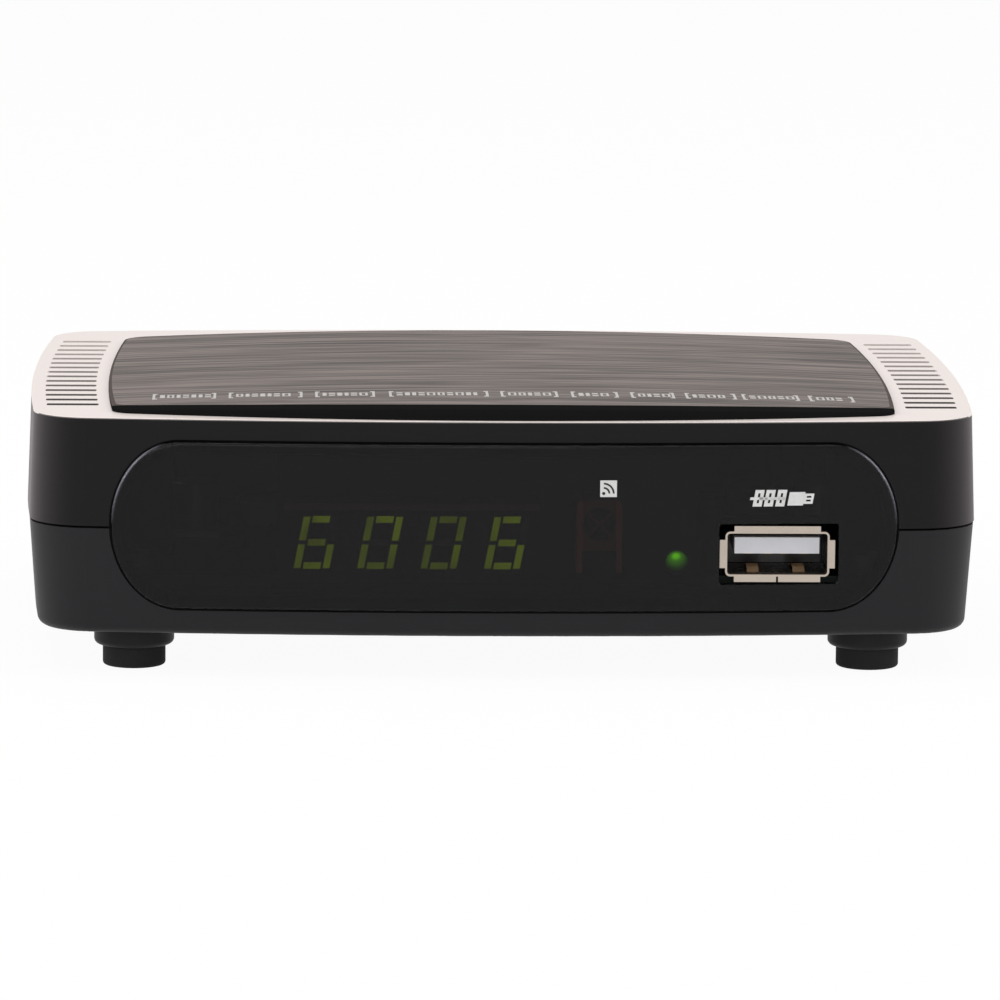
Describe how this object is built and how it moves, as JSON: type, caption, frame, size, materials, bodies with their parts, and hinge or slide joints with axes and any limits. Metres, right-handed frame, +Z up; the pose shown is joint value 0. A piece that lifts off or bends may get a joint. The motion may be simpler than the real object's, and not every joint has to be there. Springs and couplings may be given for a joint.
{
  "type": "terrestrial tv receiver",
  "caption": "Small black set-top tv receiver on four feet, with a pale vented bezel, a crowned brushed top plate, a smoked front window, a front data socket and rear sockets.",
  "frame": {"origin": "on the desk, under the middle of the receiver with its rear sockets", "axes": "+X to the right of the front, +Y towards the rear sockets, +Z up"},
  "size_m": [0.1224, 0.094, 0.0346],
  "materials": {
    "upper_shell": "moulded, fine satin grain",
    "lower_shell": "moulded, fine satin grain",
    "bezel_paint": "pale silver paint",
    "plate_carrier": "moulded, glossy",
    "brushed_sheet": "brushed along the width",
    "smoked_window": "smoked acrylic, polished",
    "foam_tape": "matt foam",
    "rubber": "matt",
    "zinc_screws": "zinc plated",
    "circuit_laminate": "green solder mask",
    "black_moulding": "moulded",
    "white_moulding": "moulded",
    "yellow_moulding": "moulded",
    "red_moulding": "moulded",
    "nickel_shell": "nickel plated",
    "tinned_pins": "tinned",
    "tinned_sheet": "tinned sheet",
    "gilt_contacts": "gold flashed",
    "display_black": "moulded, matt face",
    "segment_filter": "lit green-yellow diffuser",
    "led_resin": "tinted clear resin, lit",
    "infrared_resin": "dark resin",
    "panel_plastic": "moulded",
    "chip_epoxy": "matt epoxy",
    "black_anodised": "black anodised",
    "ferrite": "matt",
    "can_aluminium": "bright can",
    "capacitor_ceramic": "matt",
    "label_film": "blank silver film"
  },
  "bodies": {
    "root": {"antenna_in_contact": "gilt_contacts", "antenna_in_insulator": "white_moulding", "antenna_in_sleeve": "nickel_shell", "board_screws": "zinc_screws", "brushed_sheet": "brushed_sheet", "case_screws": "zinc_screws", "ceramic_capacitors": "capacitor_ceramic", "crystal": "tinned_sheet", "data_port_contacts": "gilt_contacts", "data_port_insulator": "white_moulding", "data_port_shell": "nickel_shell", "display_housing": "display_black", "display_segments": "segment_filter", "electrolytic_capacitors": "can_aluminium", "flash_chip": "chip_epoxy", "front_board": "circuit_laminate", "front_header": "black_moulding", "front_window": "smoked_window", "header_pins": "tinned_pins", "heatsink": "black_anodised", "inductors": "ferrite", "infrared_cage": "tinned_sheet", "infrared_leads": "tinned_pins", "infrared_receiver": "infrared_resin", "led_leads": "tinned_pins", "loop_out_insulator": "white_moulding", "loop_out_pin": "nickel_shell", "loop_out_sleeve": "nickel_shell", "lower_case": "lower_shell", "main_board": "circuit_laminate", "main_chip": "chip_epoxy", "memory_chip": "chip_epoxy", "phono_barrels": "nickel_shell", "phono_block": "black_moulding", "phono_contacts": "gilt_contacts", "phono_insulator_red": "red_moulding", "phono_insulator_white": "white_moulding", "phono_insulator_yellow": "yellow_moulding", "power_jack_body": "black_moulding", "power_jack_pin": "nickel_shell", "rating_label": "label_film", "rear_panel": "panel_plastic", "regulator_chips": "chip_epoxy", "rubber_feet": "rubber", "status_led": "led_resin", "top_bezel": "bezel_paint", "top_plate": "plate_carrier", "tuner_board": "circuit_laminate", "tuner_frame": "tinned_sheet", "tuner_lid": "tinned_sheet", "upper_case": "upper_shell", "video_port_contacts": "gilt_contacts", "video_port_insulator": "black_moulding", "video_port_shell": "nickel_shell", "window_tape": "foam_tape"}
  },
  "joints": []
}
